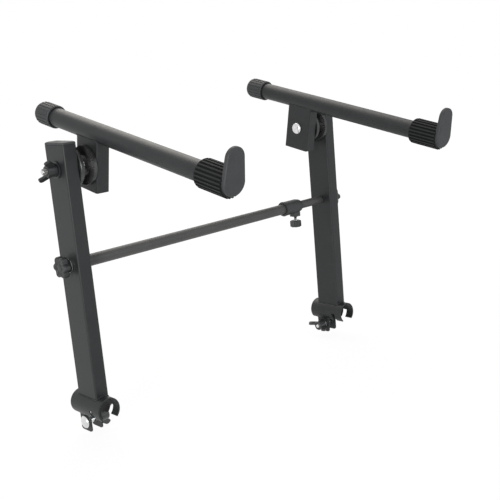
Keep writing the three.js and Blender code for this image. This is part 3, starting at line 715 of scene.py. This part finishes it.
clampSet = {"boltSeat": 9.8, "threadStart": 4, "tip": 26.1, "washerRadius": 8, "washerStart": -11.4,
            "nutSeat": -11.7, "nutTurn": {"left": -73, "right": 13}}
atClampBolt = Matrix.Translation((0, *clampBoltPlace[1:]))
onBothSides(makeBolt(-clampSet["boltSeat"], clampSet["threadStart"], clampSet["tip"], "-x"),
            "ClampBolt", brightMetal, "bright_steel", "frame", "clamp_bolt", atClampBolt)
onBothSides(makeWasher(clampSet["washerRadius"], boltHole, clampSet["washerStart"]), "ClampWasher",
            brightMetal, "bright_steel", "frame", "clamp_washer", atClampBolt)
onBothSides(makeWingNut(), "ClampWingNut", rubbedAndLitMetal, "black_hardware", "clamp_nut", "clamp_wing_nut",
            {side: nutMatrix((clampSet["nutSeat"], clampBoltY, clampBoltZ), turn, True)
             for side, turn in clampSet["nutTurn"].items()})
print("clamps made")

pivotSet = {"headSeat": -55.3, "threadStart": 11, "tip": 31.2, "washerRadius": 11,
            "washerStart": 10.3, "nutSeat": 12.2, "nutTurn": {"left": -47, "right": -68}}
onBothSides(makeBolt(pivotSet["headSeat"], pivotSet["threadStart"], pivotSet["tip"], "x"), "PivotBolt",
            brightMetal, "bright_steel", "arm", "pivot_bolt", onArm)
# The pivot washers are real, and their black hardware also stands for the wing nut's shadow on the
# post: painted shade.
onBothSides(makeWasher(pivotSet["washerRadius"], boltHole, pivotSet["washerStart"]), "PivotWasher",
            blackMetal, "black_hardware", "frame", "pivot_washer", atPivot)
onBothSides(makeWingNut(), "PivotWingNut", blackMetal, "black_hardware", "pivot_nut", "pivot_wing_nut",
            {side: nutMatrix((pivotSet["nutSeat"], 0, pivotHeight / mm), turn)
             for side, turn in pivotSet["nutTurn"].items()})

disc = {"radius": 26, "thickness": 4.5, "tooth": 1.2, "teeth": 48, "ringInside": 13, "hub": 9.4,
        "dish": 1.1, "flank": 0.5, "innerDrop": 0.45}


# A disc with a ring of radial teeth. Each tooth has four steps round the ring: its middle one is
# lifted to the crest, and the two beside it half as far. The crests fall off at the inside.
def makeDisc():
    r, thick, inside, hub = disc["radius"], disc["thickness"], disc["ringInside"], disc["hub"]
    floor = thick - disc["dish"]
    piece = turned("disc", [
        (boltHole, 0), (r - 0.5, 0), (r, 0.5), (r, thick - 0.4), (r - 0.4, thick),
        (inside + 0.4, thick), (inside, thick - 0.3), (inside - 0.8, floor), (hub + 0.6, floor),
        (hub, thick - 0.2), (hub - 0.3, thick), (boltHole, thick), (boltHole, 0)], disc["teeth"] * 4)

    def onRing(place, *shares):
        share = shareOfStep(place.x, place.y, disc["teeth"])
        onTop = abs(place.z - thick) < 0.05 and math.hypot(place.x, place.y) > inside - 0.1
        return onTop and any(abs(share - middle) < 0.1 for middle in shares)

    edit(piece)
    pick(piece, "VERT", lambda place, facing: onRing(place, 0.5))
    bpy.ops.transform.translate(value=(0, 0, disc["tooth"] * mm))
    pick(piece, "VERT", lambda place, facing: onRing(place, 0.25, 0.75))
    bpy.ops.transform.translate(value=(0, 0, disc["tooth"] * disc["flank"] * mm))
    pick(piece, "VERT", lambda place, facing: place.z > thick + 0.1
         and math.hypot(place.x, place.y) < inside + 1)
    bpy.ops.transform.translate(value=(0, 0, -disc["tooth"] * disc["innerDrop"] * mm))
    faceOut(piece)
    return laidAlong(piece, "x")


discSeat = {"post": -10.3, "bracket": -34.7}
postDiscPlace = atPivot @ Matrix.Translation((discSeat["post"] * mm, 0, 0))
onBothSides(makeDisc(), "BracketDisc", discPlastic, "moulded_plastic", "arm", "bracket_disc",
            onArm @ Matrix.Translation((discSeat["bracket"] * mm, 0, 0)))
onBothSides(makeDisc(), "PostDisc", discPlastic, "moulded_plastic", "frame", "post_disc",
            postDiscPlace @ Matrix.Rotation(math.pi, 4, "Y"))

spring = {"radius": 6.7, "wire": 0.8, "curls": 3.5, "start": -29.9, "length": 14.8,
          "stepsPerCurl": 28}


def makeSpring():
    rise = spring["length"] - 2 * spring["wire"]
    steps = round(spring["stepsPerCurl"] * spring["curls"])
    coil = begin("spring", bpy.ops.mesh.primitive_circle_add,
                 (spring["start"] + spring["wire"], spring["radius"], 0), vertices=12,
                 radius=spring["wire"] * mm)
    finishWith(coil, "SCREW", axis="X", angle=math.radians(360 * spring["curls"]),
               screw_offset=rise * mm, steps=steps, render_steps=steps, use_merge_vertices=False)
    edit(coil)
    bpy.ops.mesh.fill_holes(sides=0)
    faceOut(coil)
    return coil


onBothSides(makeSpring(), "PivotSpring", brightMetal, "bright_steel", "arm", "pivot_spring", onArm)
print("tilt joints made")

arm = {"radius": 12.7, "wall": 1.6, "rise": 43.8, "inset": 45, "front": -257.1, "rear": 114.6}
bracket = {"width": 20, "depth": 46.5, "wall": 2, "corner": 2.5, "drop": 33.6, "ease": 0.25}
atArm = onArm @ Matrix.Translation((-arm["inset"] * mm, 0, 0))


def makeArmTube():
    outer, inner = arm["radius"], arm["radius"] - arm["wall"]
    return turned("armTube", [(inner, arm["front"]), (outer, arm["front"]), (outer, arm["rear"]),
                              (inner, arm["rear"]), (inner, arm["front"])], 96, "y",
                  (0, 0, arm["rise"]))


def makeBracket():
    tube = boxTube("bracket", bracket["width"], bracket["depth"], bracket["wall"], bracket["corner"],
                   -bracket["drop"], arm["rise"] - arm["radius"] / 2)
    cutAway(tube, borer("y", arm["radius"] + seatGap, -farSide, farSide, (0, 0, arm["rise"]), 128),
            borer("x", boltHole, -farSide, farSide))
    easeEdges(tube, bracket["ease"], 2, 50)
    return tube


onBothSides(makeArmTube(), "ArmTube", coat, "coated_steel", "arm", "arm_tube", atArm)
onBothSides(makeBracket(), "Bracket", coat, "coated_steel", "arm", "bracket", atArm)
onBothSides(makeWeld("armWeld", bracket["width"], bracket["depth"], bracket["corner"],
                     arm["radius"], arm["rise"], -1),
            "ArmWeld", coat, "coated_steel", "arm", at=atArm)

rearCap = {"mouth": 84, "end": 118.43, "radius": 15.7, "bore": 13, "endWall": 3.6, "ribs": 20,
           "rib": 0.8, "rim": 2.6, "round": 4.5, "ease": 0.22}


# Ribs are lifted from every other pair of a plain ring's facets, and the grooves left between
# them get a darker material of their own, as painted shade in the grooves. Four facets to a rib.
def raiseRibs(cap, ribs, height, start, end, floorRadius, crest, shadedGroove):
    edit(cap)

    def band(place, facing):
        outward = facing.x * place.x + facing.z * place.z > 0.5 * math.hypot(place.x, place.z)
        return start < place.y < end and outward and shareOfStep(place.x, place.z, ribs) < 0.5

    pick(cap, "FACE", band)
    bpy.ops.mesh.extrude_region_shrink_fatten(TRANSFORM_OT_shrink_fatten={"value": height * mm})
    faceOut(cap)
    for material in (crest, shadedGroove):
        cap.data.materials.append(material)
    edit(cap)
    pick(cap, "FACE", lambda place, facing: start < place.y < end
         and floorRadius - 1 < math.hypot(place.x, place.z) < floorRadius + height * 0.6)
    cap.active_material_index = 1
    bpy.ops.object.material_slot_assign()
    toObjectMode()


# A cup over the tube's end: smooth rim at the mouth, ribs between, rounded end.
def makeRearCap():
    c = rearCap
    body = c["radius"] - c["rib"]
    profile = [(pole, c["end"])]
    profile += [(c["radius"] - c["round"] + c["round"] * math.sin(math.radians(a)) - c["rib"] * a / 90,
                 c["end"] - c["round"] + c["round"] * math.cos(math.radians(a)))
                for a in (0, 18, 36, 54, 72, 90)]
    profile += [(body, c["mouth"] + c["rim"] + 0.4), (c["radius"] - 0.2, c["mouth"] + c["rim"]),
                (c["radius"], c["mouth"] + c["rim"] - 0.3), (c["radius"], c["mouth"] + 0.9),
                (c["radius"] - 0.9, c["mouth"]), (c["bore"] + 0.5, c["mouth"]),
                (c["bore"], c["mouth"] + 0.5), (c["bore"], c["end"] - c["endWall"]),
                (pole, c["end"] - c["endWall"])]
    cap = turned("rearCap", profile, c["ribs"] * 4, "y")
    # The rear cap's grooves take the darker plastic: painted shade.
    raiseRibs(cap, c["ribs"], c["rib"], c["mouth"] + c["rim"] + 0.5, c["end"] - c["round"], body,
              capRubber, matPlastic)
    easeEdges(cap, c["ease"], 2, 40)
    return cap


frontCap = {"mouth": -217, "end": -261, "radius": 18.1, "bore": 13, "endWall": 3.6, "ribs": 24,
            "rib": 1.5, "rim": 1.6, "ease": 0.28}
lip = {"thickness": 6.5, "topRadius": 13, "topCentre": 29, "footRadius": 16.1, "footCentre": 1.6,
       "round": 2.1, "sunk": 0.4}


# The lip starts as a circle whose upper half is lifted and narrowed, then gets its thickness.
def makeLip():
    plate = begin("lip", bpy.ops.mesh.primitive_circle_add,
                  (0, frontCap["end"] + lip["sunk"], lip["footCentre"]), (90, 0, 0), vertices=72,
                  radius=lip["footRadius"] * mm, fill_type="NGON")
    edit(plate)
    pick(plate, "VERT", lambda place, facing: place.z > lip["footCentre"] + 0.4)
    bpy.ops.transform.translate(value=(0, 0, (lip["topCentre"] - lip["footCentre"]) * mm))
    shrink = lip["topRadius"] / lip["footRadius"]
    resize(shrink, 1, shrink, (0, 0, lip["topCentre"]))
    bpy.ops.mesh.select_all(action="SELECT")
    push(y=-lip["thickness"] - lip["sunk"])
    faceOut(plate)
    easeEdges(plate, lip["round"], 5, 60)
    plate.data.materials.append(capRubber)
    return plate


def makeFrontCap():
    c = frontCap
    body = c["radius"] - c["rib"]
    profile = [(pole, c["end"] - 1), (body, c["end"] - 1), (body, c["mouth"] - c["rim"] - 0.4),
               (c["radius"] - 0.4, c["mouth"] - c["rim"]), (c["radius"] - 0.6, c["mouth"] - 0.8),
               (c["radius"] - 1.5, c["mouth"]), (c["bore"] + 0.5, c["mouth"]),
               (c["bore"], c["mouth"] - 0.5), (c["bore"], c["end"] + c["endWall"]),
               (pole, c["end"] + c["endWall"])]
    cap = turned("frontCap", profile, c["ribs"] * 4, "y")
    raiseRibs(cap, c["ribs"], c["rib"], c["end"] - 1, c["mouth"] - c["rim"] - 0.5, body,
              ribbedRubber, grooveShadeMaterial)
    easeEdges(cap, c["ease"], 2, 40)
    return joined("frontCap", cap, makeLip())


atCap = atArm @ Matrix.Translation((0, 0, arm["rise"] * mm))
onBothSides(makeRearCap(), "RearCap", capRubber, "cap_rubber", "arm", "rear_cap", atCap)
onBothSides(makeFrontCap(), "FrontCap", capRubber, "cap_rubber", "arm", "front_cap", atCap)
print("arms and end caps made")

# Each level of a knob's head is a rise and a growth of its outline, which starts at the foot's share.
starKnob = {"radius": 15, "lobes": 6, "dip": 3.6, "foot": 0.91, "neck": 8.5, "neckLength": 4,
            "levels": ((0.6, 1.06), (1.2, 1.035), (5.3, 1.0), (1.3, 0.975), (1.1, 0.93)),
            "topRim": 2.4, "dish": 1.0, "dishWall": 0.8, "button": 4.6, "ease": 0.35,
            "seat": 12.2, "washerRadius": 9.2, "washerStart": 10.3, "stud": 3, "studReach": -24,
            "socket": 9, "pitch": 1, "thread": 0.28}


def lobedOutline(knob, pointsPerLobe, sharpness):
    count = knob["lobes"] * pointsPerLobe
    outline = []
    for i in range(count):
        turn = 2 * math.pi * i / count
        reach = knob["radius"] - knob["dip"] * ((1 - math.cos(knob["lobes"] * turn)) / 2) ** sharpness
        outline.append((reach * math.cos(turn) * knob["foot"], reach * math.sin(turn) * knob["foot"]))
    return outline


def makeStarKnob():
    k = starKnob
    outline = [(y, x) for x, y in lobedOutline(k, 12, 1.4)]
    head = drawnSolid("starKnob", outline, k["levels"])
    edit(head)
    top = sum(rise for rise, grow in k["levels"])
    pick(head, "FACE", lambda place, facing: place.z > top - 0.05 and facing.z > 0.9)
    bpy.ops.mesh.inset(thickness=k["topRim"] * mm, depth=-0.1 * mm)
    bpy.ops.mesh.inset(thickness=k["dishWall"] * mm, depth=-k["dish"] * mm)
    head.location = (0, 0, k["neckLength"] * mm)
    settle(head)
    easeEdges(head, k["ease"], 2, 40)
    neck = turned("neck", [(studHole, 0), (k["neck"] - 0.4, 0), (k["neck"], 0.4),
                           (k["neck"], k["neckLength"] + 1), (studHole, k["neckLength"] + 1),
                           (studHole, 0)], 56)
    wide = k["button"]
    button = turned("button", [(pole, top - 2.2), (wide, top - 2.2), (wide, top - 0.9),
                               (wide - 0.4, top - 0.5), (wide - 2.2, top - 0.25), (pole, top - 0.2)],
                    40, "z", (0, 0, k["neckLength"]))
    return laidAlong(joined("starKnob", head, neck, button), "x")


studEnd = {"chamfer": 0.5, "pole": 0.3}


def makeStud(name, knob, start, end, axis):
    radius, chamfer = knob["stud"], studEnd["chamfer"]
    turns = int((end - start - 2 * chamfer) / knob["pitch"])
    profile = [(studEnd["pole"], start), (radius - chamfer, start), (radius, start + chamfer)]
    profile += threadRings(radius, start + chamfer, turns, knob["pitch"], knob["thread"])
    profile += [(radius - chamfer, end), (studEnd["pole"], end)]
    return turned(name, profile, 24, axis)


knobSocket = starKnob["seat"] + starKnob["socket"]
onBothSides(makeStarKnob(), "StarKnob", matPlastic, "moulded_plastic", "star_knob", "star_knob",
            atCrossbar @ Matrix.Translation((starKnob["seat"] * mm, 0, 0)))
onBothSides(makeStud("knobStud", starKnob, starKnob["studReach"], knobSocket, "x"), "KnobStud",
            brightMetal, "bright_steel", "star_knob", "knob_stud", atCrossbar)
onBothSides(makeWasher(starKnob["washerRadius"], studHole, starKnob["washerStart"]), "KnobWasher",
            brightMetal, "bright_steel", "frame", "knob_washer", atCrossbar)
print("star knobs made")

crossbar = {"outer": 8.1, "outerWall": 1.2, "inner": 6.55, "innerWall": 1.2, "ease": 0.25,
            "left": 10.3, "outerEnd": 413, "innerStart": 240}


def makeTube(name, radius, wall, start, end):
    ease = crossbar["ease"]
    return turned(name, [(radius - wall, start), (radius - ease, start), (radius, start + ease),
                         (radius, end - ease), (radius - ease, end), (radius - wall, end),
                         (radius - wall, start)], 72, "x", (0, 0, crossbarHeight / mm))


rightEnd = postSpacing / mm - crossbar["left"]
dress(makeTube("crossbarOuterTube", crossbar["outer"], crossbar["outerWall"], crossbar["left"],
               crossbar["outerEnd"]), paleCoat, "coated_steel", "crossbar_outer", "crossbar_outer_tube")
dress(makeTube("crossbarInnerTube", crossbar["inner"], crossbar["innerWall"], crossbar["innerStart"],
               rightEnd), paleCoat, "coated_steel", "crossbar_inner", "crossbar_inner_tube")

collar = {"start": 391, "length": 38.5, "radius": 11.3, "nose": 10, "rim": 2.2, "bore": 8.4,
          "noseBore": 6.85, "shoulder": 413.3, "boss": 13, "bossCorner": 1.6, "bossTop": 8.8,
          "bossEase": 0.6, "drop": 16.4, "screwHole": 2.9}


def makeCollar():
    c = collar
    radius, start, end = c["radius"], c["start"], c["start"] + c["length"]
    rimEnd = start + c["rim"]
    sleeve = turned("collar", [
        (c["bore"], start + 0.3), (c["bore"] + 0.4, start), (radius - 0.6, start),
        (radius + 0.2, start + 0.3), (radius + 0.5, start + 1), (radius + 0.5, rimEnd),
        (radius + 0.3, rimEnd + 0.4), (radius, rimEnd + 0.6), (radius, end - 8.4),
        (radius - 0.2, end - 7.4), (c["nose"] + 0.1, end - 2.2),
        (c["nose"] - 0.4, end - 0.8), (c["nose"] - 1.2, end), (c["noseBore"] + 0.4, end),
        (c["noseBore"], end - 0.4), (c["noseBore"], c["shoulder"]), (c["bore"], c["shoulder"]),
        (c["bore"], start + 0.3)], 80, "x")
    boss = begin("boss", bpy.ops.mesh.primitive_cube_add,
                 (thumbscrewX / mm, 0, -(c["drop"] + c["bossTop"]) / 2),
                 stretch=(c["boss"] * mm, c["boss"] * mm, (c["drop"] - c["bossTop"]) * mm), size=1)
    edit(boss)
    pick(boss, "EDGE", lambda place, along: abs(along.z) > 0.9)
    bpy.ops.mesh.bevel(offset=c["bossCorner"] * mm, segments=4, affect="EDGES")
    faceOut(boss)
    easeEdges(boss, c["bossEase"], 3, 50)
    cutAway(sleeve, boss, operation="UNION")
    cutAway(sleeve, borer("z", c["screwHole"], -c["drop"] - 3, -5, (thumbscrewX / mm, 0, 0), 32))
    sleeve.name = "crossbarCollar"
    sleeve.location.z = crossbarHeight
    settle(sleeve)
    return sleeve


dress(makeCollar(), matPlastic, "moulded_plastic", "crossbar_outer", "crossbar_collar")

thumbKnob = {"radius": 9.2, "height": 10.3, "lobes": 8, "dip": 1.3, "foot": 0.89,
             "levels": ((0.35, 1.07), (0.65, 1.04), (8, 1.0), (0.8, 0.95), (0.5, 0.9)),
             "ease": 0.25, "gap": 6.9, "socket": 7.21, "stud": 2.5, "pitch": 0.8, "thread": 0.22}
knobTop = crossbarHeight / mm - collar["drop"] - thumbKnob["gap"]


def makeThumbKnob():
    k = thumbKnob
    head = drawnSolid("collarThumbKnob", lobedOutline(k, 8, 1), k["levels"])
    head.location = (thumbscrewX, 0, (knobTop - k["height"]) * mm)
    settle(head)
    cutAway(head, borer("z", collar["screwHole"], knobTop - k["socket"], knobTop + 2,
                        (thumbscrewX / mm, 0, 0), 32))
    easeEdges(head, k["ease"], 2, 45)
    return head


dress(makeThumbKnob(), matPlastic, "moulded_plastic", "collar_screw", "collar_thumb_knob")
studFoot = knobTop - thumbKnob["socket"] + seatGap
studTop = crossbarHeight / mm - crossbar["inner"] - seatGap
dress(laidAlong(makeStud("collarThumbStud", thumbKnob, studFoot, studTop, "z"), "z",
                (thumbscrewX / mm, 0, 0)),
      brightMetal, "bright_steel", "collar_screw", "collar_thumb_stud")
for name in ("crossbar_left_plug", "crossbar_right_plug"):  # the CAD solids, in plastic
    node = frame["nodes"][name]
    node.data.materials.clear()
    node.data.materials.append(matPlastic)
print("crossbar made")

# Stage, lamps and camera. The floor keeps a share of its shadow near the stand, and none far off.
stage = {"floorSize": 8.0, "floorGap": 0.5, "paint": 0.82, "whiteShare": 0.9, "whiteLevel": 1.04,
         "shadowReach": (0.45, 1.1), "world": 0.4}


def sightRays(tree):  # 1 for the rays that have to find white
    path = tree.nodes.new("ShaderNodeLightPath")
    camera, glossy, through = (Wire(tree, path.outputs[name]) for name in
                               ("Is Camera Ray", "Is Glossy Ray", "Is Transmission Ray"))
    return camera.maths("MAXIMUM", camera.maths("MAXIMUM", camera, glossy), through)


def makeFloor():
    floor = begin("paleFloor", bpy.ops.mesh.primitive_plane_add,
                  (postSpacing / mm / 2, 0, cadBox[0].z / mm - stage["floorGap"]),
                  size=stage["floorSize"])
    finish = Finish("paleFloorPaint")
    finish.set(Base_Color=(stage["paint"],) * 3, Roughness=0.9)
    glow = finish.node("ShaderNodeEmission", {}, {"Color": (1, 1, 1),
                                                  "Strength": stage["whiteLevel"]})
    away = finish.node("ShaderNodeVectorMath", {"operation": "DISTANCE"},
                       {0: finish.place, 1: (postSpacing / 2, 0, cadBox[0].z)}, "Value")
    share = stage["whiteShare"]
    share = share + finish.ramp(away, *stage["shadowReach"]) * (1 - share)
    paint = Wire(finish.tree, finish.shader.outputs[0])
    white = sightRays(finish.tree) * share
    blend = finish.node("ShaderNodeMixShader", {}, {0: white, 1: paint, 2: glow})
    finish.put(finish.tree.nodes["Material Output"].inputs["Surface"], blend)
    floor.data.materials.append(finish.material)


def makeWorld():
    world = bpy.data.worlds.new("studioAir")
    world.use_nodes = True
    bpy.context.scene.world = world
    tree = world.node_tree
    background = tree.nodes["Background"]
    background.inputs["Color"].default_value = (1, 1, 1, 1)
    level = sightRays(tree) * (1 - stage["world"]) + stage["world"]
    tree.links.new(level.socket, background.inputs["Strength"])


lamps = {
    "keyLamp": {"place": (-1.5, -0.9, 0.45), "size": 0.6, "power": 20},
    "fillLamp": {"place": (0.9, -1.9, 0.9), "size": 1.5, "power": 7.5, "colour": (0.82, 0.93, 1.0)},
    "topLamp": {"place": (0.75, 0.85, 1.5), "size": 1.5, "power": 14, "colour": (1.0, 0.95, 0.88)},
}
lampAim = Vector((postSpacing / 2, 0, 0.2))


def makeLamps():
    for name, lamp in lamps.items():
        data = bpy.data.lights.new(name, "AREA")
        data.shape = "DISK"
        data.size = lamp["size"]
        data.energy = lamp["power"]
        data.color = lamp.get("colour", (1, 1, 1))
        stand = bpy.data.objects.new(name, data)
        bpy.context.scene.collection.objects.link(stand)
        stand.location = lamp["place"]
        stand.rotation_euler = (lampAim - stand.location).to_track_quat("-Z", "Y").to_euler()


view = {"place": (-0.571007, -0.943438, 0.438146), "right": (0.71454058, -0.69447532, -0.08447359),
        "up": (0.21279188, 0.10072238, 0.97189229), "ahead": (0.66644682, 0.71243178, -0.21974894),
        "lens": 61.08, "sensor": 36}


def makeCamera():
    data = bpy.data.cameras.new("photoView")
    data.lens = view["lens"]
    data.sensor_width = view["sensor"]
    data.sensor_fit = "HORIZONTAL"
    data.clip_start = 0.01
    camera = bpy.data.objects.new("photoView", data)
    bpy.context.scene.collection.objects.link(camera)
    columns = [Vector(view["right"]), Vector(view["up"]), -Vector(view["ahead"])]
    turn = Matrix(columns).transposed().to_4x4()
    camera.matrix_world = Matrix.Translation(view["place"]) @ turn
    bpy.context.scene.camera = camera


makeFloor()
makeWorld()
makeLamps()
makeCamera()
bpy.context.scene.view_settings.view_transform = "Standard"
toObjectMode()
bpy.ops.object.select_all(action="DESELECT")
print("stage, lamps and camera made")
